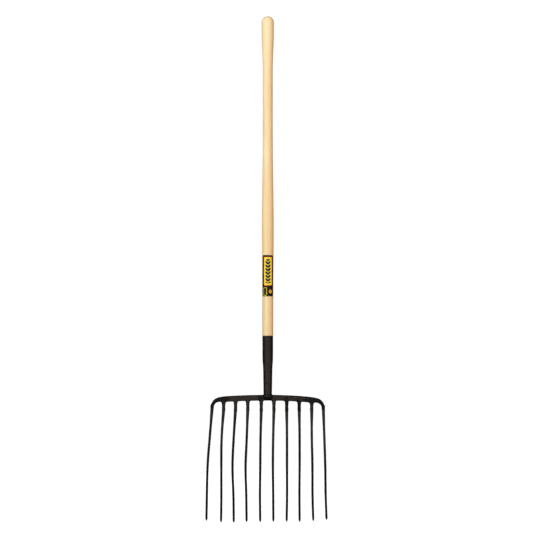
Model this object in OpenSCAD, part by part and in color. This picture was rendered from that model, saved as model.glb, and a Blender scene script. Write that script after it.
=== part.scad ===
// Ten-tine long-handled fork: a forged and welded steel head on a turned wooden handle.
// All sizes are in millimetres. The handle's axis is Z and the tines hang downwards.
// The hollow side of the head faces -Y, and so does the label.
// The origin is on the handle's axis, where the straight butt meets its domed top.

/* [Handle] */
// Length of the wood, from the top of its dome to the foot inside the ferrule
handle_length = 1219; // [1000:1:1500]
// Diameter of the swelled butt
butt_d = 41.4; // [36:0.2:50]
// Length of the butt's straight stretch
butt_length = 34; // [20:1:60]
// Height of the butt's domed top
dome_height = 20; // [8:1:25]
// Length of the taper from the butt to the slim grip
butt_taper = 136; // [80:1:160]
// Diameter of the slim grip
grip_d = 33.7; // [28:0.1:40]
// Length of the swell from the slim grip down to the belly
belly_rise = 320; // [200:1:380]
// Diameter of the belly
belly_d = 40.4; // [34:0.1:48]
// Length of the fall from the belly down to the shank
belly_fall = 255; // [150:1:300]
// Diameter of the shank, the straight wood above the ferrule
shank_d = 37.8; // [36:0.1:46]
// Length of the shank
shank_length = 110; // [40:1:140]
// Length of the wood inside the ferrule
seat_length = 133; // [90:1:165]
// Round-over of the shank's lower edge
shank_edge = 1.2; // [0.4:0.1:2]

/* [Ferrule] */
// Length of the ferrule, from its mouth down to the head
ferrule_length = 201; // [185:1:260]
// Outer diameter of the ferrule at its mouth
mouth_d = 36.8; // [30:0.1:44]
// Length of the ferrule's nearly straight sleeve
sleeve_length = 74; // [50:1:90]
// Outer diameter at the lower end of the sleeve
sleeve_d = 36.1; // [29:0.1:43]
// Length of the curved taper under the sleeve
taper_length = 46; // [30:1:60]
// Outer diameter at the top of the neck
neck_top_d = 31.4; // [26:0.1:38]
// Outer diameter at the foot of the neck
neck_foot_d = 28.8; // [24:0.1:36]
// Wall of the ferrule
ferrule_wall = 1.8; // [1:0.1:3]
// Distance from the ferrule's mouth down to the nail at the back
nail_drop = 28; // [15:1:50]
// Diameter of the nail's shank
nail_d = 3.8; // [2:0.1:5]
// Diameter of the nail's head
nail_head_d = 9; // [6:0.5:12]
// Height of the nail's domed head
nail_head_height = 2; // [1:0.1:3]
// How far the nail reaches past the handle's axis
nail_reach = 9; // [6:0.5:12]

/* [Tang] */
// Diameter of the spike where it leaves the bolster
spike_d = 14; // [10:0.5:18]
// Diameter of the spike at its tip
spike_tip_d = 8; // [5:0.5:10]
// How far the spike reaches past the middle of the nail that pins it
spike_past_nail = 19; // [8:1:40]
// Gap between the foot of the wood and the tang's bolster
foot_gap = 6; // [2:0.5:12]
// Leg of the fillet weld around the neck
neck_weld_leg = 3.4; // [2:0.2:6]

/* [Head] */
// Distance between the roots of neighbouring tines
tine_pitch = 42; // [34:0.5:52]
// Height of the crossbar
bar_height = 19.5; // [14:0.5:26]
// Thickness of the crossbar from front to back
bar_thickness = 11; // [8:0.5:16]
// Radius of the gentle arch in the crossbar's right half
right_arch_radius = 1500; // [800:10:3000]
// Radius of the arch in its left half, which was forged a little flatter
left_arch_radius = 2200; // [800:10:3000]
// Radius at which the crossbar's ends bend down, at their centreline
bend_radius = 28; // [20:1:34]
// Angle at which the bent ends leave the crossbar, 90 being straight down
bend_exit = 87; // [80:1:90]
// How far the head leans back from the handle, in degrees
head_pitch = 10; // [0:1:16]
// Diameter of the round boss under the neck
boss_d = 36; // [30:1:50]

/* [Tines] */
// Length of a tine along its curve
tine_length = 393; // [300:1:480]
// Angle through which a tine curves forward, in degrees
tine_curve = 40; // [20:1:55]
// Width of a tine below its weld
tine_width = 9; // [5:0.1:10]
// Depth of a tine from front to back, below its weld
tine_depth = 9.2; // [5:0.1:12]
// Size of a tine just above its point, as a share of its size below its weld
tine_slimming = 0.88; // [0.6:0.02:1]
// Distance below its weld over which a tine narrows to its own size
tine_neck = 55; // [20:1:80]
// Length of the blunt point
point_length = 13; // [8:1:30]
// Width of a forged stub just under the crossbar
stub_width = 13.6; // [10:0.2:16]
// Distance from the crossbar's centreline to the welds
stub_drop = 40; // [32:1:50]
// Radius of the fillets between the stubs and the crossbar
root_fillet = 4.5; // [2:0.5:8]
// Diameter of the stub and the tine where they are welded
weld_seat_d = 11; // [8:0.2:13]
// How far a weld stands proud
weld_bump = 0.3; // [0.2:0.1:3]
// Length of a weld
weld_length = 17; // [8:1:20]

/* [Label] */
// Width of the label across the front
label_width = 35.4; // [20:0.2:37]
// Length of the label
label_length = 140; // [80:1:180]
// Distance from the ferrule's mouth up to the label
label_rise = 134; // [60:1:200]
// Thickness of the label
label_thickness = 0.2; // [0.1:0.05:0.5]
// Radius of the label's lower corners
label_corner = 6; // [2:0.5:10]

/* [Hidden] */
// Radial clearance between pieces that fit into each other
fit_clearance = 0.1;
// Clearance between faces that are pressed or welded together
seat_clearance = 0.05;
// Thickness of a weld at its thin ends
weld_edge = 0.3;
// Squareness of the crossbar's section, 1 being an ellipse
bar_squareness = 0.45;
// Depth of the boss's flat foot as a share of its width, and that width as a share of the boss's
boss_foot_depth = 0.45;
boss_foot_width = 0.8;
tine_count = 10;
// Hand-set bows of the tines: how far each stands right of its even place
// at its root, at each quarter of its length, and at its tip.
tine_bows = [
    [0, -8, -15.5, -17.5, -18.5],
    [-3, -10, -11, -10.5, -11],
    [-4.5, -11, -15, -11.5, -10],
    [-5, -8.5, -12.5, -10, -8.5],
    [-1, -3.5, -4.5, -5.5, -4.5],
    [0, -2.5, -3.5, -2.5, -2],
    [1.5, 2.5, 2.5, 2.5, 1],
    [2, 3.5, 3.5, 2.5, 3],
    [2.5, 3, 5, 5, 7],
    [0, 3.5, 6.5, 7.5, 10]
];
// How much longer or shorter each tine was drawn
tine_trims = [3, 1, 2, 0, 0, -1, -1, -1, -4, -3];

// Heights along the handle
mouth_z = dome_height + seat_length - handle_length;
foot_z = mouth_z - seat_length;
grip_top_z = -butt_length - butt_taper;
shank_top_z = mouth_z + shank_length;
belly_z = shank_top_z + belly_fall;
grip_end_z = belly_z + belly_rise;
nail_z = mouth_z - nail_drop;

// Heights of the head
bar_top_z = mouth_z - ferrule_length;
bar_z = bar_top_z - bar_height / 2;
bolster_top_z = foot_z - foot_gap;
spike_length = nail_z + spike_past_nail - bolster_top_z;

// The crossbar's path in the head's own frame, whose origin is the middle of the crossbar
outer_x = tine_pitch * (tine_count - 1) / 2;
bend_centre_x = outer_x - bend_radius * sin(bend_exit);
// The crossbar thins to the tines' size over its bends and this much before them
thinning_run = 22;
curve_radius = tine_length / (tine_curve * PI / 180);

wood_color = [0.95, 0.84, 0.66];
steel_color = [0.17, 0.16, 0.15];
weld_color = [0.24, 0.22, 0.2];
nail_color = [0.3, 0.29, 0.28];
label_color = [0.1, 0.1, 0.1];

// How finely the curves are drawn
swell_steps = 14;
taper_steps = 12;
arch_steps = 20;
bend_steps = 10;
tine_steps = 22;
label_steps = 12;
bar_sides = 20;
tine_sides = 14;
weld_sides = 16;
$fn = 96;

function tine_name(i) = str("tine_", i < 10 ? "0" : "", i);
function clamped(t) = max(0, min(1, t));
function ease(t) = clamped(t) * clamped(t) * (3 - 2 * clamped(t));
function between(a, b, t) = a + (b - a) * t;
function steps(a, b, count) = [for (k = [1:count]) between(a, b, k / count)];
function reversed(list) = [for (k = [len(list) - 1:-1:0]) list[k]];
function unit(v) = v / norm(v);

// Diameter of the bare wood at height z
function wood_d(z) =
    butt_d
    + (grip_d - butt_d) * ease((-butt_length - z) / butt_taper)
    + (belly_d - grip_d) * ease((grip_end_z - z) / belly_rise)
    + (shank_d - belly_d) * ease((belly_z - z) / belly_fall);

// Outer radius of the ferrule at a depth below its mouth
function ferrule_r(depth) =
    depth < sleeve_length
    ? between(mouth_d, sleeve_d, depth / sleeve_length) / 2
    : depth < sleeve_length + taper_length
    ? between(sleeve_d, neck_top_d, ease((depth - sleeve_length) / taper_length)) / 2
    : between(
        neck_top_d,
        neck_foot_d,
        (depth - sleeve_length - taper_length) / (ferrule_length - sleeve_length - taper_length)
    ) / 2;

// Depths at which the ferrule's profile is drawn between two depths
taper_depths = steps(sleeve_length, sleeve_length + taper_length, taper_steps);
function ferrule_depths(top, bottom) = [
    for (depth = concat([0, sleeve_length], taper_depths))
        if (depth > top && depth < bottom) depth
];

// The ferrule's bore, made smaller all round by inset, as points from top to bottom
function bore_profile(top, bottom, inset) = [
    for (depth = concat([top], ferrule_depths(top, bottom), [bottom]))
        [ferrule_r(depth) - ferrule_wall - inset, mouth_z - depth]
];

// A ring of points around a centre, square to a direction in or near the XZ plane.
// The power rounds it: 1 is an ellipse, and smaller powers are squarer.
function ring(centre, direction, half_width, half_depth, power, sides) =
    let (
        across = unit(cross(direction, [0, 1, 0])),
        back = cross(across, direction)
    )
    [
        for (j = [0:sides - 1])
            let (a = 360 * (j + 0.5) / sides)
            centre
            + across * half_width * sign(cos(a)) * pow(abs(cos(a)), power)
            + back * half_depth * sign(sin(a)) * pow(abs(sin(a)), power)
    ];

// Value at fraction f of a smooth curve through evenly spaced values
function through(v, f) =
    let (
        spans = len(v) - 1,
        k = min(floor(f * spans), spans - 1),
        u = f * spans - k,
        rise = k == 0 ? v[1] - v[0] : (v[k + 1] - v[k - 1]) / 2,
        next_rise = k == spans - 1 ? v[k + 1] - v[k] : (v[k + 2] - v[k]) / 2
    )
    v[k] * (1 + 2 * u) * (1 - u) * (1 - u)
    + v[k + 1] * u * u * (3 - 2 * u)
    + rise * u * (1 - u) * (1 - u)
    - next_rise * u * u * (1 - u);

// The crossbar's arch and bend: side is 1 for the right half and -1 for the left
function arch_r(side) = side < 0 ? left_arch_radius : right_arch_radius;
function arch_end(side) = asin(bend_centre_x / (arch_r(side) - bend_radius));
function bend_centre_z(side) = (arch_r(side) - bend_radius) * cos(arch_end(side)) - arch_r(side);
function arch_length(side) = arch_r(side) * arch_end(side) * PI / 180;
function bend_length(side) = bend_radius * (bend_exit - arch_end(side)) * PI / 180;
function arch_z(x) = let (r = arch_r(sign(x))) sqrt(r * r - x * x) - r;

function even_x(i) = (i - (tine_count + 1) / 2) * tine_pitch;
function is_outer(i) = i == 1 || i == tine_count;
function root_x(i) = even_x(i) + tine_bows[i - 1][0];
function root_z(i) =
    is_outer(i) ? bend_centre_z(sign(even_x(i))) + bend_radius * cos(bend_exit) : -stub_drop;
function drawn_length(i) = tine_length + tine_trims[i - 1];

// Centreline of tine i at a distance s below its root; above the root it runs straight up
function tine_point(i, s) =
    let (turn = max(s, 0) / curve_radius * 180 / PI)
    [
        even_x(i) + through(tine_bows[i - 1], max(s, 0) / drawn_length(i)),
        -curve_radius * (1 - cos(turn)),
        root_z(i) - curve_radius * sin(turn) - min(s, 0)
    ];
function tine_direction(i, s) = unit(tine_point(i, s + 0.5) - tine_point(i, s - 0.5));
function tine_ring(i, s, half_width, half_depth, sides) =
    ring(tine_point(i, s), tine_direction(i, s), half_width, half_depth, 1, sides);

// A solid skinned over rings of equal length: capped at both ends, or joined end to start
module skinned(rings, closed = false) {
    sides = len(rings[0]);
    count = len(rings);
    walls = [
        for (k = [0:count - (closed ? 1 : 2)])
            for (j = [0:sides - 1])
                let (
                    here = k * sides,
                    next = (k + 1) % count * sides,
                    turn = (j + 1) % sides
                )
                each [[here + j, next + turn, next + j], [here + j, here + turn, next + turn]]
    ];
    caps = [
        [for (j = [sides - 1:-1:0]) j],
        [for (j = [0:sides - 1]) (count - 1) * sides + j]
    ];
    polyhedron(points = [for (r = rings) each r], faces = closed ? walls : concat(walls, caps));
}

module at_head() {
    translate([0, 0, bar_z]) rotate([head_pitch, 0, 0]) children();
}

// A cylinder along Y from the back towards the front, at the nail's height
module nail_bore(radius) {
    translate([0, -nail_reach, nail_z]) rotate([-90, 0, 0]) cylinder(r = radius, h = butt_d);
}

// The spike of the tang, or the hole that it fits
module spike(clearance) {
    translate([0, 0, bolster_top_z])
        cylinder(
            r1 = spike_d / 2 + clearance,
            r2 = spike_tip_d / 2 + clearance,
            h = spike_length + clearance
        );
}

module handle() {
    wood_z = concat(
        [-butt_length],
        steps(-butt_length, grip_top_z, swell_steps),
        [grip_end_z],
        steps(grip_end_z, belly_z, swell_steps),
        steps(belly_z, shank_top_z, swell_steps),
        [mouth_z + shank_edge]
    );
    dome = [for (a = [90:-9:0]) [butt_d / 2 * cos(a), dome_height * sin(a)]];
    wood = [for (z = wood_z) [wood_d(z) / 2, z]];
    edge = [[shank_d / 2 - shank_edge, mouth_z]];
    seat = bore_profile(0, seat_length, fit_clearance);
    color(wood_color)
        difference() {
            rotate_extrude() polygon(concat(dome, wood, edge, seat, [[0, foot_z]]));
            spike(fit_clearance);
            nail_bore(nail_d / 2 + seat_clearance);
        }
}

module ferrule() {
    between_ends = ferrule_depths(seat_clearance, ferrule_length);
    outside = [
        for (depth = concat([seat_clearance], between_ends, [ferrule_length]))
            [ferrule_r(depth), mouth_z - depth]
    ];
    color(steel_color)
        difference() {
            rotate_extrude()
                polygon(concat(outside, reversed(bore_profile(seat_clearance, ferrule_length, 0))));
            nail_bore(nail_d / 2 + seat_clearance);
        }
}

module ferrule_nail() {
    head_y = ferrule_r(nail_drop) + seat_clearance;
    color(nail_color)
        translate([0, 0, nail_z])
            rotate([-90, 0, 0])
                rotate_extrude()
                    polygon(concat(
                        [[0, -nail_reach + seat_clearance], [nail_d / 2, -nail_reach + nail_d / 2]],
                        [[nail_d / 2, head_y]],
                        [
                            for (a = [0:15:90])
                                [nail_head_d / 2 * cos(a), head_y + nail_head_height * sin(a)]
                        ]
                    ));
}

module tang() {
    bolster = bore_profile(foot_gap + seat_length, ferrule_length, fit_clearance);
    color(steel_color)
        difference() {
            union() {
                rotate_extrude() polygon(concat([[0, bolster_top_z]], bolster, [[0, bar_top_z]]));
                spike(0);
            }
            nail_bore(nail_d / 2 + seat_clearance);
        }
}

module neck_weld() {
    inner = neck_foot_d / 2 + fit_clearance;
    color(weld_color)
        rotate_extrude()
            polygon(concat(
                [[inner, bar_top_z + seat_clearance]],
                [
                    for (a = [0:15:90])
                        [
                            inner + neck_weld_leg * (1 - sin(a)) + seat_clearance,
                            bar_top_z + seat_clearance + neck_weld_leg * (1 - cos(a))
                        ]
                ],
                [[inner, bar_top_z + seat_clearance + neck_weld_leg]]
            ));
}

// Half-height of the crossbar at a distance along its path from the middle
function bar_half_height(run, side) =
    between(
        bar_height,
        weld_seat_d,
        ease((run - arch_length(side) + thinning_run) / (thinning_run + bend_length(side)))
    ) / 2;
function bar_half_thickness(run, side) =
    between(bar_thickness, weld_seat_d, ease(run / (arch_length(side) + bend_length(side)))) / 2;

// Half of the crossbar's path, as [distance from the middle, height, angle turned from level, run]
function bar_stations(side) = concat(
    [
        for (a = concat([0], steps(0, arch_end(side), arch_steps)))
            [arch_r(side) * sin(a), arch_r(side) * (cos(a) - 1), a, arch_r(side) * a * PI / 180]
    ],
    [
        for (a = steps(arch_end(side), bend_exit, bend_steps))
            [
                bend_centre_x + bend_radius * sin(a),
                bend_centre_z(side) + bend_radius * cos(a),
                a,
                arch_length(side) + bend_radius * (a - arch_end(side)) * PI / 180
            ]
    ]
);
function bar_ring(station, side) =
    let (
        run = station[3],
        a = station[2] * side,
        slimness = ease((run - arch_length(side) + thinning_run) / thinning_run)
    )
    ring(
        [station[0] * side, 0, station[1]],
        [cos(a), 0, -sin(a)],
        bar_half_height(run, side),
        bar_half_thickness(run, side),
        between(bar_squareness, 1, slimness),
        bar_sides
    );

// One forged stub: it flares into the crossbar's lower edge and ends at the weld
module stub(i) {
    x = root_x(i);
    edge_z = arch_z(x) - bar_height / 2;
    half_depth = weld_seat_d / 2;
    flare = [
        for (a = [0:22.5:90])
            [edge_z - root_fillet * (1 - cos(a)), stub_width / 2 + root_fillet * (1 - sin(a))]
    ];
    inside_bar = edge_z + bar_height / 3;
    slices = concat(
        [[inside_bar, stub_width / 2 + root_fillet]],
        flare,
        [[weld_length / 2 - stub_drop, half_depth], [-stub_drop, half_depth]]
    );
    skinned([for (s = slices) ring([x, 0, s[0]], [0, 0, -1], s[1], half_depth, 1, bar_sides)]);
}

// The round boss that carries the tang and the neck, flattening into the crossbar
module boss() {
    $fn = 32;
    top_height = bar_height * 0.3;
    foot_height = bar_height * 0.1;
    translate([0, 0, bar_top_z])
        hull() {
            translate([0, 0, -top_height]) cylinder(d = boss_d, h = top_height);
            translate([0, 0, foot_height / 2 - bar_height])
                scale([1, boss_foot_depth, 1]) cylinder(d = boss_d * boss_foot_width, h = foot_height);
        }
}

module head_bar() {
    left = bar_stations(-1);
    right = bar_stations(1);
    rings = concat(
        [for (station = reversed(left)) bar_ring(station, -1)],
        [for (k = [1:len(right) - 1]) bar_ring(right[k], 1)]
    );
    color(steel_color)
        union() {
            boss();
            at_head() skinned(rings);
            at_head() for (i = [2:tine_count - 1]) stub(i);
        }
}

module tine_welds() {
    half = weld_length / 2;
    inner = weld_seat_d / 2 + fit_clearance;
    color(weld_color)
        at_head()
            for (i = [1:tine_count])
                let (
                    outside = [
                        for (k = [-1:0.25:1])
                            let (r = inner + weld_edge + weld_bump * cos(90 * k))
                            tine_ring(i, half * k, r, r, weld_sides)
                    ],
                    inside = [for (k = [1:-1:-1]) tine_ring(i, half * k, inner, inner, weld_sides)]
                )
                skinned(concat(outside, inside), closed = true);
}

// Half of a tine's size at a distance along it, for the given size below its weld
function tine_half(size, s) =
    between(
        weld_seat_d,
        size * between(1, tine_slimming, clamped(s / tine_length)),
        ease((s - weld_length / 2) / tine_neck)
    ) / 2;

module tine(i) {
    body_length = drawn_length(i) - point_length;
    body = [
        for (s = concat([0, weld_length / 2], steps(weld_length / 2, body_length, tine_steps)))
            tine_ring(
                i,
                max(s, seat_clearance),
                tine_half(tine_width, s),
                tine_half(tine_depth, s),
                tine_sides
            )
    ];
    point = [
        for (a = [20:15:80])
            let (s = body_length + point_length * sin(a))
            tine_ring(
                i,
                s,
                tine_half(tine_width, s) * cos(a),
                tine_half(tine_depth, s) * cos(a),
                tine_sides
            )
    ];
    color(steel_color) at_head() skinned(concat(body, point));
}

module label() {
    low_z = mouth_z + label_rise;
    high_z = low_z + label_length;
    half = label_width / 2;
    strip_z = concat([low_z], steps(low_z, high_z, label_steps));
    inside = [for (z = strip_z) [wood_d(z) / 2 + seat_clearance, z]];
    outside = [for (z = strip_z) [wood_d(z) / 2 + seat_clearance + label_thickness, z]];
    left_corner = [for (a = [180:15:270]) label_corner * [cos(a) + 1, sin(a) + 1]];
    outline = concat(
        [[half, high_z + 1], [-half, high_z + 1]],
        [for (p = left_corner) [p[0] - half, low_z + p[1]]],
        [for (p = reversed(left_corner)) [half - p[0], low_z + p[1]]]
    );
    color(label_color)
        intersection() {
            rotate_extrude() polygon(concat(inside, reversed(outside)));
            rotate([90, 0, 0]) linear_extrude(butt_d) polygon(outline);
        }
}

handle();
ferrule();
ferrule_nail();
tang();
neck_weld();
head_bar();
tine_welds();
label();
for (i = [1:tine_count]) tine(i);
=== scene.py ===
"""Looks for the ten-tine fork: each visible CAD node but the tang gets a finished mesh, and each gets a
procedural material.
"""

import math

import bmesh
import bpy
import numpy as np
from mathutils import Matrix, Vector, noise


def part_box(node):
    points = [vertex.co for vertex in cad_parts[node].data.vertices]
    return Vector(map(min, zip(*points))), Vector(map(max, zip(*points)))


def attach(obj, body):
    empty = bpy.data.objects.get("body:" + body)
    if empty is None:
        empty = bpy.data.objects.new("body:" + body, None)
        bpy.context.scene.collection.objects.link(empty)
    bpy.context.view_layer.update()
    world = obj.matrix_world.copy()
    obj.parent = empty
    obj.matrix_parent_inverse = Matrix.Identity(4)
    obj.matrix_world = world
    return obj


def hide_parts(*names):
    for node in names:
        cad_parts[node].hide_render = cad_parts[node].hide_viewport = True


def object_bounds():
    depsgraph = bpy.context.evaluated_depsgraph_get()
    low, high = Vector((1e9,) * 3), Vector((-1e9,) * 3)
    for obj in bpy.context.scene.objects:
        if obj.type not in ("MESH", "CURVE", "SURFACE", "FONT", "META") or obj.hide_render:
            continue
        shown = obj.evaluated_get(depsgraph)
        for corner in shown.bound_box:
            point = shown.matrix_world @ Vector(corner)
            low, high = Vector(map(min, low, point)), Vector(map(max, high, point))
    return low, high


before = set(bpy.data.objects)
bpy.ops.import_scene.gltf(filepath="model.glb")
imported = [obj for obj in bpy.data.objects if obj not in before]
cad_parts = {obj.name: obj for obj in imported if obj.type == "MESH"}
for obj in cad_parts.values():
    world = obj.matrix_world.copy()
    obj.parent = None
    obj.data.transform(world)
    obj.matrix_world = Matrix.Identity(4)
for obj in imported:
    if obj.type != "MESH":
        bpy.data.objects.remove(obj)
cad_low, cad_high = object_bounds()

MM = 0.001
HAIR = 0.05 * MM
TINES = [name for name in sorted(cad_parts) if name.startswith("tine_0") or name == "tine_10"]


# ---------------------------------------------------------------- reading the CAD shapes


def cad_points(node):
    """The node's vertices, one row each."""
    return np.array([vertex.co[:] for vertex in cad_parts[node].data.vertices])


def cad_triangles(node):
    """The node's triangles, as three corners each."""
    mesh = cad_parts[node].data
    mesh.calc_loop_triangles()
    corners = np.array([triangle.vertices[:] for triangle in mesh.loop_triangles])
    return cad_points(node)[corners]


def cad_cut(triangles, height):
    """The points, as x and y, where a surface's triangle edges cross one height."""
    above = triangles[:, :, 2] - height
    found = []
    for a, b in ((0, 1), (1, 2), (2, 0)):
        crossing = above[:, a] * above[:, b] < 0
        start, end = triangles[crossing, a], triangles[crossing, b]
        share = above[crossing, a] / (above[crossing, a] - above[crossing, b])
        found.append(start + share[:, None] * (end - start))
    return np.concatenate(found)[:, :2]


def cad_radii(node, heights):
    """The least and the greatest distance of a surface from the handle's axis at each height."""
    triangles = cad_triangles(node)
    least, most = [], []
    for height in heights:
        far = np.hypot(*cad_cut(triangles, height).T)
        least.append(far.min())
        most.append(far.max())
    return np.array(least), np.array(most)


def heights_between(low, high, step):
    """Even heights from low to high, no further apart than step."""
    return np.linspace(low, high, math.ceil((high - low) / step) + 1)


# ---------------------------------------------------------------- building meshes


def lumps(point, size, seed):
    """Smooth noise between about -1 and 1, with lumps of the given size."""
    return noise.noise(Vector(point) / size + Vector((seed * 7.3, seed * 3.1, seed * 5.7)))


def dents(point, size, seed):
    """Flat-bottomed hammer dents: 0 at a dent's middle, up to about 1 between dents."""
    distances, _ = noise.voronoi(Vector(point) / size + Vector((seed * 4.7, seed * 2.9, seed * 6.1)))
    return min(1.0, distances[0] * 1.4)


def finish_mesh(name, mesh, material, nodes):
    """Links a finished mesh as a piece that stands for those CAD nodes."""
    for polygon in mesh.polygons:
        polygon.use_smooth = True
    piece = bpy.data.objects.new(name, mesh)
    bpy.context.scene.collection.objects.link(piece)
    mesh.materials.clear()
    mesh.materials.append(material)
    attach(piece, "root")
    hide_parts(*nodes)
    return piece


def skin(name, rings):
    """A closed tube over rings of points. A ring of one point closes an end."""
    points = [tuple(point) for ring in rings for point in ring]
    starts = np.cumsum([0] + [len(ring) for ring in rings])
    faces = []
    for lower, upper, a, b in zip(rings[:-1], rings[1:], starts[:-1], starts[1:]):
        sides = max(len(lower), len(upper))
        for side in range(sides):
            turn = (side + 1) % sides
            if len(lower) == 1:
                faces.append((a, b + side, b + turn))
            elif len(upper) == 1:
                faces.append((a + turn, a + side, b))
            else:
                faces.append((a + turn, a + side, b + side, b + turn))
    mesh = bpy.data.meshes.new(name)
    mesh.from_pydata(points, [], faces)
    mesh.validate()
    shape = bmesh.new()
    shape.from_mesh(mesh)
    bmesh.ops.recalc_face_normals(shape, faces=shape.faces)
    shape.to_mesh(mesh)
    shape.free()
    return mesh


def turned_rings(stations, sides, uneven):
    """Rings round the Z axis from (height, radius) stations. uneven moves a point in or out."""
    rings = []
    for height, radius in stations:
        if radius == 0:
            rings.append([(0.0, 0.0, height)])
            continue
        ring = []
        for side in range(sides):
            angle = 2 * math.pi * side / sides
            around = (math.cos(angle), math.sin(angle))
            out = radius + uneven(around[0] * radius, around[1] * radius, height)
            ring.append((around[0] * out, around[1] * out, height))
        rings.append(ring)
    return rings


def forged_copy(name, node, voxel, rounds, uneven):
    """A copy of a CAD node with its edges rounded as forging or welding leaves them."""
    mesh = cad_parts[node].data.copy()
    source = bpy.data.objects.new(name + "_source", mesh)
    bpy.context.scene.collection.objects.link(source)
    shape = bmesh.new()
    shape.from_mesh(mesh)
    bmesh.ops.remove_doubles(shape, verts=shape.verts, dist=0.01 * MM)
    shape.to_mesh(mesh)
    shape.free()
    remesh = source.modifiers.new("even faces", "REMESH")
    remesh.mode = "VOXEL"
    remesh.voxel_size = voxel
    soften = source.modifiers.new("soft edges", "SMOOTH")
    soften.factor = 0.5
    soften.iterations = rounds
    graph = bpy.context.evaluated_depsgraph_get()
    made = bpy.data.meshes.new_from_object(source.evaluated_get(graph))
    made.name = name
    bpy.data.objects.remove(source)
    normals = [tuple(vertex.normal) for vertex in made.vertices]
    for vertex, normal in zip(made.vertices, normals):
        vertex.co += Vector(normal) * uneven(vertex.co)
    return made


# ---------------------------------------------------------------- materials


class Shader:
    """A material being built: make() adds a node, and inputs are numbers, colours or other nodes' outputs."""

    def __init__(self, name):
        self.material = bpy.data.materials.new(name)
        self.material.use_nodes = True
        self.tree = self.material.node_tree
        self.surface = self.tree.nodes["Principled BSDF"]

    def make(self, kind, inputs=None, **settings):
        node = self.tree.nodes.new("ShaderNode" + kind)
        for key, value in settings.items():
            setattr(node, key, value)
        for key, value in (inputs or {}).items():
            self.put(node.inputs[key], value)
        return node

    def put(self, socket, value):
        if isinstance(value, bpy.types.NodeSocket):
            self.tree.links.new(value, socket)
        else:
            socket.default_value = value

    def place(self):
        return self.make("TexCoord").outputs["Object"]

    def math(self, operation, *values, clamp=False):
        inputs = dict(enumerate(values))
        return self.make("Math", inputs, operation=operation, use_clamp=clamp).outputs[0]

    def add(self, first, second):
        return self.math("ADD", first, second)

    def subtract(self, first, second):
        return self.math("SUBTRACT", first, second)

    def times(self, first, second):
        return self.math("MULTIPLY", first, second)

    def size_of(self, value):
        return self.math("ABSOLUTE", value)

    def distance(self, x, y):
        squares = [self.math("POWER", value, 2.0) for value in (x, y)]
        return self.math("SQRT", self.add(*squares))

    def parts(self, place):
        return self.make("SeparateXYZ", {0: place}).outputs

    def stretched(self, place, scale):
        return self.make("Mapping", {"Vector": place, "Scale": scale}).outputs[0]

    def noise(self, place, scale, detail=2.0, roughness=0.5):
        inputs = {"Vector": place, "Scale": scale, "Detail": detail, "Roughness": roughness}
        return self.make("TexNoise", inputs).outputs["Fac"]

    def remap(self, value, low, high, to_low, to_high, smooth=True):
        inputs = {"Value": value, 1: low, 2: high, 3: to_low, 4: to_high}
        kind = "SMOOTHSTEP" if smooth else "LINEAR"
        return self.make("MapRange", inputs, interpolation_type=kind).outputs[0]

    def blend(self, share, first, second, how="MIX"):
        node = self.make("Mix", data_type="RGBA", blend_type=how)
        self.put(node.inputs[0], share)
        self.put(node.inputs[6], first)
        self.put(node.inputs[7], second)
        return node.outputs[2]

    def bump(self, height, depth, strength=1.0):
        inputs = {"Height": height, "Distance": depth, "Strength": strength}
        return self.make("Bump", inputs).outputs[0]

    def surface_values(self, **values):
        for key, value in values.items():
            self.put(self.surface.inputs[key.replace("_", " ")], value)


def colour(red, green, blue):
    return (red, green, blue, 1.0)


HEART_X, HEART_Y = 0.055, 0.075
RINGS_PER_METRE = 330.0
RING_WANDER = 0.016


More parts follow.
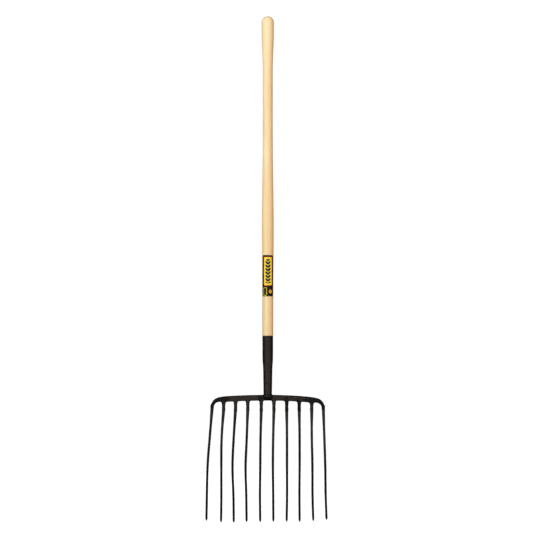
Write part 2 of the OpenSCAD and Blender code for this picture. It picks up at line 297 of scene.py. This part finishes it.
def ash_wood():
    """Pale lacquered ash with growth rings, fibres and pores along Z."""
    shader = Shader("ash_wood")
    place = shader.place()
    # The rings are cut from a trunk whose heart lies outside the handle, and wander along it.
    slow = {"Vector": shader.stretched(place, (1, 1, 0.35)), "Scale": 4.0, "Detail": 1.0}
    wander = shader.make("TexNoise", slow).outputs["Color"]
    moved = shader.make("VectorMath", {0: wander, 1: (-0.5, -0.5, -0.5)}, operation="ADD").outputs[0]
    moved = shader.make("VectorMath", {0: moved, "Scale": RING_WANDER}, operation="SCALE").outputs[0]
    moved = shader.make("VectorMath", {0: moved, 1: place}, operation="ADD").outputs[0]
    part = shader.parts(moved)
    from_heart = shader.distance(shader.add(part[0], HEART_X), shader.add(part[1], HEART_Y))
    ring = shader.math("FRACT", shader.times(from_heart, RINGS_PER_METRE))
    late = shader.remap(ring, 0.45, 0.98, 0.0, 1.0)
    late = shader.times(late, shader.remap(ring, 0.98, 1.0, 1.0, 0.0))
    fibre = shader.noise(shader.stretched(place, (1, 1, 0.018)), 1500.0, 3.0, 0.6)
    streak = shader.noise(shader.stretched(place, (1, 1, 0.03)), 320.0, 3.0, 0.6)
    band = shader.noise(shader.stretched(place, (1, 1, 0.05)), 120.0, 2.0, 0.6)
    cloud = shader.noise(shader.stretched(place, (1, 1, 0.25)), 14.0, 2.0)
    pore = shader.noise(shader.stretched(place, (1, 1, 0.05)), 2600.0, 1.0)
    early = shader.remap(ring, 0.0, 0.4, 1.0, 0.15)
    pore = shader.times(shader.remap(pore, 0.64, 0.74, 0.0, 1.0), early)
    lower = shader.remap(shader.parts(place)[2], -0.35, -1.0, 0.0, 1.0)
    pale = shader.blend(lower, colour(0.89, 0.68, 0.38), colour(0.88, 0.66, 0.345))
    tone = shader.blend(shader.times(late, 0.5), pale, colour(0.74, 0.49, 0.235))
    tone = shader.blend(shader.remap(band, 0.42, 0.68, 0.0, 0.55), tone, colour(0.80, 0.565, 0.30))
    tone = shader.blend(shader.remap(streak, 0.35, 0.75, 0.0, 0.45), tone, colour(0.80, 0.56, 0.29))
    tone = shader.blend(shader.remap(fibre, 0.5, 0.8, 0.0, 0.25), tone, colour(0.66, 0.43, 0.21))
    tone = shader.blend(shader.remap(cloud, 0.4, 0.7, 0.0, 0.35), tone, colour(0.93, 0.75, 0.48))
    tone = shader.blend(shader.times(pore, 0.45), tone, colour(0.47, 0.29, 0.13))
    relief = shader.subtract(shader.times(fibre, 0.6), shader.times(pore, 0.8))
    shader.surface_values(
        Base_Color=tone,
        Roughness=shader.remap(fibre, 0.3, 0.7, 0.42, 0.52),
        Normal=shader.bump(relief, 0.00008, 0.5),
        Specular_IOR_Level=0.35,
    )
    return shader.material


PAINT_DEEP = colour(0.0052, 0.0040, 0.0032)
PAINT_PALE = colour(0.0105, 0.0080, 0.0062)
PAINT_WORN = colour(0.035, 0.027, 0.021)
# Lighter brown on the head's ridges: worn steel, and a painted highlight where the edges catch the light
PAINT_RUBBED_AND_LIT = colour(0.09, 0.07, 0.052)
# Painted shade: near-black for the head's shaded patches and the lower tines
PAINT_SHADE = colour(0.0011, 0.0010, 0.0010)


def black_paint(name, rough, grain_depth, lump_depth, wear, painted_shade=None, edge_wear_and_highlight=0.0):
    """Thin satin black paint over forged steel.

    wear is how much brown steel shows through, and the last argument how far the ridges turn lighter brown,
    partly worn steel and partly a painted highlight.
    The share maker given sixth paints shade: from the shader and a place, it makes the share of matt, blacker
    paint that stands in for shade.
    """
    shader = Shader(name)
    place = shader.place()
    grain = shader.noise(place, 1400.0, 4.0, 0.6)
    lump = shader.noise(place, 160.0, 3.0, 0.55)
    patch = shader.noise(place, 60.0, 4.0, 0.6)
    scale = shader.noise(place, 420.0, 3.0, 0.65)
    flakes = shader.remap(scale, 0.60, 0.70, 0.0, 1.0)
    worn = shader.times(flakes, shader.remap(patch, 0.48, 0.66, 0.0, wear))
    tone = shader.blend(shader.remap(patch, 0.3, 0.7, 0.0, 1.0), PAINT_DEEP, PAINT_PALE)
    tone = shader.blend(worn, tone, PAINT_WORN)
    # Lighter ridges: worn steel, and a painted highlight where the bar's edges catch the light.
    if edge_wear_and_highlight:
        ridge = shader.make("NewGeometry").outputs["Pointiness"]
        broken = shader.remap(lump, 0.35, 0.6, 0.2, 1.0)
        rubbed_and_lit = shader.times(shader.remap(ridge, 0.53, 0.60, 0.0, edge_wear_and_highlight), broken)
        tone = shader.blend(rubbed_and_lit, tone, PAINT_RUBBED_AND_LIT)
    gloss = shader.remap(lump, 0.3, 0.7, rough - 0.05, rough + 0.08)
    gloss = shader.add(gloss, shader.times(worn, 0.15))
    # Painted shade: the given share turns the paint blacker and rougher.
    if painted_shade:
        shade_share = painted_shade(shader, place)
        tone = shader.blend(shade_share, tone, PAINT_SHADE)
        gloss = shader.math("ADD", gloss, shader.times(shade_share, 0.4), clamp=True)
    height = shader.add(shader.times(grain, grain_depth), shader.times(lump, lump_depth))
    shader.surface_values(
        Base_Color=tone,
        Roughness=gloss,
        Normal=shader.bump(height, 1.0, 1.0),
        Specular_IOR_Level=0.5,
    )
    return shader.material


# Painted shade: matt black patches on the head where it lies in shade: middle x and z, half width and half
# height
SHADE_PATCHES = [
    (-0.180, -1.292, 0.030, 0.024),
    (-0.148, -1.279, 0.016, 0.010),
    (-0.024, -1.277, 0.009, 0.012),
    (0.065, -1.302, 0.012, 0.026),
    (0.105, -1.303, 0.012, 0.026),
    (0.138, -1.287, 0.016, 0.009),
    (0.176, -1.293, 0.030, 0.026),
]


def painted_shade_patches(shader, place):
    """The share of painted shade, matt blacker paint, on the crossbar and its welds."""
    part = shader.parts(place)
    ragged = shader.remap(shader.noise(place, 110.0, 3.0, 0.6), 0.3, 0.7, -0.35, 0.35, smooth=False)
    share = 0.0
    for middle_x, middle_z, wide, tall in SHADE_PATCHES:
        across = shader.math("DIVIDE", shader.subtract(part[0], middle_x), wide)
        up = shader.math("DIVIDE", shader.subtract(part[2], middle_z), tall)
        far = shader.add(shader.distance(across, up), ragged)
        share = shader.math("MAXIMUM", share, shader.remap(far, 0.75, 1.25, 1.0, 0.0))
    return shader.times(share, 0.9)


# Where the painted shade on the tines starts and is full, and how far its edge wanders
SHADE_TOP, SHADE_FOOT = -1.39, -1.45
SHADE_WANDER = 0.3


def lower_tine_shade(shader, place):
    """Painted shade on the tines: they turn matt and deep black some way down, each at its own height."""
    wander = shader.noise(shader.stretched(place, (1.0, 0.2, 0.15)), 22.0, 1.0)
    level = shader.add(shader.parts(place)[2], shader.times(shader.subtract(wander, 0.5), SHADE_WANDER))
    lower = shader.remap(level, SHADE_TOP, SHADE_FOOT, 0.0, 1.0)
    patchy = shader.remap(shader.noise(place, 90.0, 3.0, 0.6), 0.3, 0.6, 0.75, 1.0)
    return shader.times(lower, patchy)


def bright_nail():
    """Dull zinc on the nail's head, with fine scratches."""
    shader = Shader("nail_zinc")
    place = shader.place()
    patch = shader.noise(place, 700.0, 4.0, 0.6)
    scratch = shader.noise(shader.stretched(place, (1.0, 0.1, 0.1)), 6000.0, 2.0)
    share = shader.remap(patch, 0.35, 0.65, 0.0, 1.0)
    tone = shader.blend(share, colour(0.30, 0.29, 0.27), colour(0.42, 0.42, 0.41))
    shader.surface_values(
        Base_Color=tone,
        Metallic=1.0,
        Roughness=shader.remap(scratch, 0.3, 0.7, 0.38, 0.55),
        Normal=shader.bump(patch, 0.00006, 0.6),
    )
    return shader.material


# One unit of the label's flat map, in metres
LABEL_UNIT = 0.1
# The label's print, in millimetres
PANEL_HALF = (15.6, 49.0)
PANEL_RIGHT, PANEL_MARGIN, PANEL_CORNER = 0.6, 5.5, 3.0
GRAIN_PITCH, GRAIN_OUT, GRAIN_LEAN = 11.6, 4.7, math.radians(32)
GRAIN_HALF = (3.3, 6.4)
EAR_REACH, STEM_REACH, STEM_HALF = 40.5, 43.5, 1.1
BADGE_HALF, BADGE_CORNER, BADGE_LINE = (5.6, 13.5), 4.0, 0.9
BADGE_X, DOT_X, LOW_ROW = -9.6, 9.8, 16.5
DOT_HALF = (5.6, 6.4)


def label_print(height):
    """A printed vinyl label: black, with a yellow panel, a plain ear of grain, a small frame and a spot."""
    shader = Shader("label_vinyl")
    spot = shader.parts(shader.make("UVMap", uv_map="label_flat").outputs[0])
    across = shader.times(spot[0], LABEL_UNIT / MM)
    up = shader.times(spot[1], LABEL_UNIT / MM)

    def edge(distance, soft=0.25):
        """1 inside a shape, where its signed distance in mm is under 0."""
        return shader.remap(distance, -soft, soft, 1.0, 0.0)

    def past(value, middle, half):
        """How far a value is from its middle, past a half width."""
        far = shader.size_of(shader.subtract(value, middle))
        return shader.math("MAXIMUM", shader.subtract(far, half), 0.0)

    def rounded_box(middle, half, corner):
        far_x = past(across, middle[0], half[0] - corner)
        far_y = past(up, middle[1], half[1] - corner)
        return shader.subtract(shader.distance(far_x, far_y), corner)

    def ellipse(x, y, half):
        """About how far a point is outside an ellipse round the origin of x and y."""
        far = shader.distance(shader.math("DIVIDE", x, half[0]), shader.math("DIVIDE", y, half[1]))
        return shader.times(shader.subtract(far, 1.0), min(half))

    panel_middle = (PANEL_RIGHT, height / MM / 2 - PANEL_MARGIN - PANEL_HALF[1])
    panel_edge = rounded_box(panel_middle, PANEL_HALF, PANEL_CORNER)
    # The ear: grains lean up and out from a stem, one pair in each step along it.
    stem_x = shader.size_of(shader.subtract(across, panel_middle[0]))
    along = shader.subtract(up, panel_middle[1])
    local = shader.subtract(shader.math("FLOORED_MODULO", along, GRAIN_PITCH), GRAIN_PITCH / 2)
    out = shader.subtract(stem_x, GRAIN_OUT)
    cos_lean, sin_lean = math.cos(GRAIN_LEAN), math.sin(GRAIN_LEAN)
    turned_x = shader.subtract(shader.times(out, cos_lean), shader.times(local, sin_lean))
    turned_y = shader.add(shader.times(out, sin_lean), shader.times(local, cos_lean))
    from_middle = shader.size_of(along)
    reach = shader.remap(from_middle, EAR_REACH, EAR_REACH + 0.5, 1.0, 0.0)
    grains = shader.times(edge(ellipse(turned_x, turned_y, GRAIN_HALF)), reach)
    stem_end = shader.remap(from_middle, STEM_REACH, STEM_REACH + 0.5, 1.0, 0.0)
    stem = shader.times(edge(shader.subtract(stem_x, STEM_HALF)), stem_end)
    ear = shader.math("MAXIMUM", grains, stem)

    low_row = LOW_ROW - height / MM / 2
    badge = rounded_box((BADGE_X, low_row), BADGE_HALF, BADGE_CORNER)
    frame_line = edge(shader.subtract(shader.size_of(badge), BADGE_LINE))
    dot = edge(ellipse(shader.subtract(across, DOT_X), shader.subtract(up, low_row), DOT_HALF))

    inner = shader.noise(shader.make("UVMap", uv_map="label_flat").outputs[0], 9.0, 2.0)
    paler = shader.remap(inner, 0.3, 0.7, 0.0, 1.0)
    yellow = shader.blend(paler, colour(0.95, 0.74, 0.02), colour(0.98, 0.86, 0.06))
    black = colour(0.007, 0.006, 0.007)
    tone = shader.blend(edge(panel_edge), black, colour(0.42, 0.035, 0.012))
    tone = shader.blend(edge(shader.add(panel_edge, 1.1)), tone, colour(0.90, 0.36, 0.02))
    tone = shader.blend(edge(shader.add(panel_edge, 2.6), 0.9), tone, yellow)
    tone = shader.blend(ear, tone, colour(0.014, 0.01, 0.03))
    tone = shader.blend(frame_line, tone, colour(0.72, 0.62, 0.03))
    tone = shader.blend(dot, tone, colour(0.80, 0.36, 0.02))
    speck = shader.noise(shader.place(), 2400.0, 2.0)
    shader.surface_values(
        Base_Color=tone,
        Roughness=shader.remap(speck, 0.3, 0.7, 0.30, 0.40),
        Normal=shader.bump(speck, 0.00002, 0.5),
        Specular_IOR_Level=0.4,
    )
    return shader.material


ash = ash_wood()
steel_black = black_paint("painted_steel", 0.36, 0.00003, 0.00022, 0.5)
# Head and welds: painted shade in dark patches.
head_black = black_paint("painted_head", 0.36, 0.00003, 0.00025, 0.5, painted_shade_patches, 0.8)
# Tines: painted shade on their lower parts.
tine_black = black_paint("painted_tines", 0.30, 0.00002, 0.00010, 0.35, lower_tine_shade)
weld_black = black_paint("painted_weld", 0.40, 0.00004, 0.00030, 0.6, painted_shade_patches)


# ---------------------------------------------------------------- handle

handle_low, handle_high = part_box("handle")
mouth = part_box("ferrule")[1].z
DOME = 24 * MM


def wood_uneven(x, y, z):
    """A turned and sanded handle is out of round by a tenth of a millimetre or so."""
    if z < mouth:
        return 0.0
    return 0.16 * MM * lumps((x * 1.5, y * 1.5, z * 0.25), 22 * MM, 3)


dome_foot = handle_high.z - DOME
dome_levels = handle_high.z - DOME * (1 - np.sin(np.linspace(0, math.pi / 2, 25)[1:-1]))
levels = np.concatenate([
    heights_between(handle_low.z + HAIR, mouth, 6 * MM),
    heights_between(mouth + HAIR, mouth + 2 * MM, 0.3 * MM),
    heights_between(mouth + 2 * MM, dome_foot, 5 * MM)[1:],
    dome_levels,
])
inner_r, outer = cad_radii("handle", levels)
stations = list(zip(levels, outer)) + [(handle_high.z, 0.0)]
bore = [(z, r) for z, r in zip(levels, inner_r) if z < mouth - 5 * MM and r < 9 * MM]
bore_top, bore_top_r = bore[-1]
inside = [(bore_top, 0.0), (bore_top, bore_top_r), (levels[0], bore[0][1])]
handle = skin("handle_turned", turned_rings(inside + stations, 128, wood_uneven))
finish_mesh("handle_turned", handle, ash, ["handle"])


# ---------------------------------------------------------------- ferrule

ferrule_low, ferrule_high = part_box("ferrule")
WALL = 1.8 * MM
LIP = 0.8 * MM


def ferrule_uneven(x, y, z):
    """Rolled sheet is slightly out of round, more so towards the forged neck."""
    return 0.14 * MM * lumps((x, y, z * 0.5), 14 * MM, 5) + 0.10 * MM * lumps((x, y, z), 5 * MM, 6)


levels = heights_between(ferrule_low.z + HAIR, ferrule_high.z - LIP, 2.5 * MM)
_, outer = cad_radii("ferrule", levels)
body = list(zip(levels, outer))
top_r = outer[-1]
rim = [
    (ferrule_high.z - LIP + LIP * math.sin(angle), top_r - LIP + LIP * math.cos(angle))
    for angle in np.linspace(0, math.pi, 9)
]
inner_side = [(z, r - WALL) for z, r in reversed(body)]
tube = body + rim[1:] + inner_side
rings = turned_rings(tube, 112, ferrule_uneven)
rings.append(rings[0])
ferrule = skin("ferrule_tube", rings)
shape = bmesh.new()
shape.from_mesh(ferrule)
bmesh.ops.remove_doubles(shape, verts=shape.verts, dist=0.001 * MM)
bmesh.ops.recalc_face_normals(shape, faces=shape.faces)
shape.to_mesh(ferrule)
shape.free()
finish_mesh("ferrule_tube", ferrule, steel_black, ["ferrule"])


# ---------------------------------------------------------------- nail

NAIL_HEAD = 2 * MM
nail_low, nail_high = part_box("ferrule_nail")
nail_mid = (nail_low + nail_high) / 2
head_r = (nail_high.z - nail_low.z) / 2
shank_end = [p for p in cad_points("ferrule_nail") if p[1] < nail_low.y + 0.1 * MM]
shank_r = max(abs(p[2] - nail_mid.z) for p in shank_end)
head_foot = nail_high.y - NAIL_HEAD
profile = [(nail_low.y, 0.0), (nail_low.y, shank_r), (head_foot, shank_r), (head_foot, head_r * 0.97)]
profile += [
    (head_foot + NAIL_HEAD * math.sin(angle), head_r * math.cos(angle) ** 0.8)
    for angle in np.linspace(0.12, math.pi / 2 - 0.06, 12)
]
profile.append((nail_high.y, 0.0))
rings = turned_rings(profile, 48, lambda x, y, z: 0.06 * MM * lumps((x, y, z), 2 * MM, 9))
rings = [[(x, z, nail_mid.z + y) for x, y, z in ring] for ring in rings]
finish_mesh("nail_domed", skin("nail_domed", rings), bright_nail(), ["ferrule_nail"])


# ---------------------------------------------------------------- head


def hammered(point):
    """Hammer marks, stronger on the thin bent ends of the bar."""
    along = min(1.0, max(0.0, (abs(point.x) - 150 * MM) / (30 * MM)))
    depth = (0.25 + 0.35 * along) * MM
    return depth * (dents(point, 9 * MM, 1) - 0.5) + 0.12 * MM * lumps(point, 4 * MM, 2)


head = forged_copy("head_forged", "head_bar", 1.0 * MM, 6, hammered)
finish_mesh("head_forged", head, head_black, ["head_bar"])


def welded(point):
    """Beads of weld metal, piled in short ripples."""
    return 0.25 * MM * lumps(point, 4 * MM, 4) + 0.10 * MM * lumps(point, 1.7 * MM, 8)


welds = forged_copy("tine_weld_beads", "tine_welds", 0.55 * MM, 4, welded)
finish_mesh("tine_weld_beads", welds, weld_black, ["tine_welds"])
neck = forged_copy("neck_weld_bead", "neck_weld", 0.45 * MM, 3, welded)
finish_mesh("neck_weld_bead", neck, weld_black, ["neck_weld"])


# ---------------------------------------------------------------- tines

TINE_SIDES = 28
TINE_STEP = 3.5 * MM


def tine_mesh(node, seed):
    """A forged round tine along the CAD tine's middle line, as wide and deep as it is."""
    triangles = cad_triangles(node)
    low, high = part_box(node)
    top, tip = high.z - 1.2 * MM, low.z + 0.4 * MM
    count = math.ceil((top - tip) / TINE_STEP)
    levels = [top + (tip - top) * step / count for step in range(count + 1)]
    middles, halves = [], []
    for level in levels:
        cut = cad_cut(triangles, level)
        least, most = cut.min(0), cut.max(0)
        middles.append(((least[0] + most[0]) / 2, (least[1] + most[1]) / 2, level))
        halves.append(((most[0] - least[0]) / 2, (most[1] - least[1]) / 2))
    middles, halves = np.array(middles), np.array(halves)
    for _ in range(3):
        middles[1:-1] = (middles[:-2] + 2 * middles[1:-1] + middles[2:]) / 4
    rings = []
    for step, (middle, half) in enumerate(zip(middles, halves)):
        before, after = middles[max(step - 1, 0)], middles[min(step + 1, count)]
        down = Vector(after - before).normalized()
        side = Vector((1, 0, 0))
        side = (side - down * side.dot(down)).normalized()
        front = down.cross(side)
        depth = half[1] * abs(down.z)
        ring = []
        for turn in range(TINE_SIDES):
            angle = 2 * math.pi * turn / TINE_SIDES
            out = side * math.cos(angle) * half[0] + front * math.sin(angle) * depth
            point = Vector(middle) + out
            size = out.length
            rough = 0.05 * lumps((point.x, point.y, point.z * 0.3), 10 * MM, seed)
            rough += 0.04 * (dents((point.x, point.y, point.z * 0.4), 9 * MM, seed + 20) - 0.5)
            ring.append(point + out * rough * min(1.0, size / (2 * MM)))
        rings.append(ring)
    rings = [[Vector(middles[0])]] + rings + [[Vector(middles[-1]) - Vector((0, 0, 0.4 * MM))]]
    return skin(node + "_forged", rings)


for number, node in enumerate(TINES):
    finish_mesh(node + "_forged", tine_mesh(node, 30 + number), tine_black, [node])


# ---------------------------------------------------------------- label

label_low, label_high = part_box("label")
label_height = label_high.z - label_low.z
label_mid = (label_high.z + label_low.z) / 2
ROWS, COLUMNS = 180, 72
CORNER = 6 * MM
THICK = 0.2 * MM
# How far the label's back is pressed into the wood, so that no gap shows
SUNK = 0.02 * MM


def label_mesh():
    """A strip wrapped round the front of the handle, with rounded corners and real thickness."""
    mesh = bpy.data.meshes.new("label_wrap")
    shape = bmesh.new()
    flat = shape.loops.layers.uv.new("label_flat")
    places = {}
    levels = label_low.z + label_height * (0.5 - 0.5 * np.cos(np.linspace(0, math.pi, ROWS + 1)))
    _, under = cad_radii("handle", levels)
    grid = []
    for row, (level, radius) in enumerate(zip(levels, under)):
        half = math.asin(label_high.x / (radius + THICK)) * (radius + THICK)
        from_end = min(level - label_low.z, label_high.z - level)
        if from_end < CORNER:
            half -= CORNER - math.sqrt(max(0.0, CORNER**2 - (CORNER - from_end) ** 2))
        line = []
        for column in range(COLUMNS + 1):
            across = half * (2 * column / COLUMNS - 1)
            line.append((across, level, radius))
        grid.append(line)

    def vertex(across, level, radius, out):
        angle = across / (radius + THICK)
        far = radius + out
        made = shape.verts.new((far * math.sin(angle), -far * math.cos(angle), level))
        places[made] = (across / LABEL_UNIT, (level - label_mid) / LABEL_UNIT)
        return made

    def sheet(out):
        return [[vertex(*spot, out) for spot in line] for line in grid]

    front, back = sheet(THICK), sheet(-SUNK)

    def wall_face(*corners):
        shape.faces.new([side[row][column] for side, row, column in corners])

    for row in range(ROWS):
        for column in range(COLUMNS):
            square = [(row, column), (row, column + 1), (row + 1, column + 1), (row + 1, column)]
            wall_face(*[(front, r, c) for r, c in square])
            wall_face(*[(back, r, c) for r, c in square[:1] + square[:0:-1]])
    border = [(0, c) for c in range(COLUMNS)] + [(r, COLUMNS) for r in range(ROWS)]
    border += [(ROWS, c) for c in range(COLUMNS, 0, -1)] + [(r, 0) for r in range(ROWS, 0, -1)]
    for here, following in zip(border, border[1:] + border[:1]):
        wall_face((front, *here), (back, *here), (back, *following), (front, *following))
    bmesh.ops.recalc_face_normals(shape, faces=shape.faces)
    for face in shape.faces:
        for corner in face.loops:
            corner[flat].uv = places[corner.vert]
    shape.to_mesh(mesh)
    shape.free()
    return mesh


vinyl = label_print(label_height)
finish_mesh("label_wrap", label_mesh(), vinyl, ["label"])


# ---------------------------------------------------------------- CAD nodes that stay

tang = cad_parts["tang"]
tang.data.materials.clear()
tang.data.materials.append(steel_black)


# ---------------------------------------------------------------- floor, light and camera


FLOOR_RADIUS, FLOOR_SIDES = 3.4, 96


def floor():
    """A pale round floor just under the tines, left out of what lights the fork."""
    material = bpy.data.materials.new("pale_floor")
    material.use_nodes = True
    surface = material.node_tree.nodes["Principled BSDF"]
    surface.inputs["Base Color"].default_value = colour(0.18, 0.18, 0.18)
    surface.inputs["Roughness"].default_value = 0.9
    surface.inputs["Emission Color"].default_value = colour(1.0, 1.0, 1.0)
    surface.inputs["Emission Strength"].default_value = 0.98
    level = cad_low.z - 0.5 * MM
    mesh = bpy.data.meshes.new("floor")
    turns = [2 * math.pi * side / FLOOR_SIDES for side in range(FLOOR_SIDES)]
    rim = [(FLOOR_RADIUS * math.cos(turn), FLOOR_RADIUS * math.sin(turn), level) for turn in turns]
    mesh.from_pydata(rim, [], [tuple(range(FLOOR_SIDES))])
    mesh.materials.append(material)
    made = bpy.data.objects.new("floor", mesh)
    made.visible_diffuse = False
    made.visible_glossy = False
    bpy.context.scene.collection.objects.link(made)


def panel(name, place, aim, size, power, tint=(1.0, 1.0, 1.0), shows="diffuse"):
    """A flat soft light at place, turned to aim. It shows in matt surfaces (diffuse) or in gloss (glossy)."""
    light = bpy.data.lights.new(name, "AREA")
    light.shape = "RECTANGLE"
    light.size, light.size_y = size
    light.energy = power
    light.color = tint
    lamp = bpy.data.objects.new(name, light)
    lamp.location = place
    lamp.rotation_euler = (Vector(aim) - Vector(place)).to_track_quat("-Z", "Y").to_euler()
    lamp.visible_camera = False
    lamp.visible_diffuse = shows == "diffuse"
    lamp.visible_glossy = shows == "glossy"
    bpy.context.scene.collection.objects.link(lamp)


floor()
middle = (cad_low + cad_high) / 2
WARM = (1.0, 0.91, 0.85)
panel("front_gloss", (0.0, -2.8, -1.32), (0.0, 0.0, -1.32), (10.0, 0.74), 22.0, WARM, shows="glossy")
panel("low_gloss", (0.0, -1.55, -1.69), (0.0, -1.55, 0.0), (10.0, 2.5), 46.0, WARM, shows="glossy")
panel("back_gloss", (0.0, 2.8, -1.1), (0.0, 0.0, -1.3), (5.0, 1.2), 8.0, shows="glossy")
panel("wood_gloss", (-1.4, -2.6, 0.3), (0.0, 0.0, -0.3), (1.2, 2.2), 14.0, shows="glossy")
panel("left_light", (-1.1, -2.9, -0.5), (0.0, 0.0, middle.z), (1.4, 2.4), 85.0)
panel("right_light", (2.8, 0.3, -0.8), (0.0, 0.0, middle.z), (1.2, 2.4), 44.0, tint=(1.0, 0.56, 0.28))
panel("back_light", (-1.3, 2.8, -0.7), (0.0, 0.0, middle.z), (2.0, 2.0), 55.0)
panel("top_light", (-0.4, -1.9, 1.7), (0.0, 0.0, 0.0), (1.6, 1.6), 40.0)

world = bpy.data.worlds.new("white_room")
bpy.context.scene.world = world
world.use_nodes = True
tree = world.node_tree
sky = tree.nodes["Background"]
sky.inputs["Color"].default_value = colour(1.0, 1.0, 1.0)
seen = tree.nodes.new("ShaderNodeLightPath").outputs["Is Camera Ray"]
strength = tree.nodes.new("ShaderNodeMapRange")
tree.links.new(seen, strength.inputs["Value"])
strength.inputs["To Min"].default_value = 0.1
strength.inputs["To Max"].default_value = 1.02
tree.links.new(strength.outputs[0], sky.inputs["Strength"])
world.cycles_visibility.glossy = False

CAMERA_BACK = 12.0
CAMERA_X, CAMERA_DROP = -0.00425, 0.8506
FRAME_WIDTH = 1.8122
SENSOR = 36.0
camera = bpy.data.objects.new("camera", bpy.data.cameras.new("camera"))
camera.data.sensor_width = SENSOR
camera.data.lens = SENSOR * CAMERA_BACK / FRAME_WIDTH
camera.data.clip_end = 100.0
camera.location = (CAMERA_X, -CAMERA_BACK, cad_high.z - CAMERA_DROP)
camera.rotation_euler = (math.pi / 2, 0.0, 0.0)
bpy.context.scene.collection.objects.link(camera)
bpy.context.scene.camera = camera
bpy.context.scene.view_settings.view_transform = "Standard"
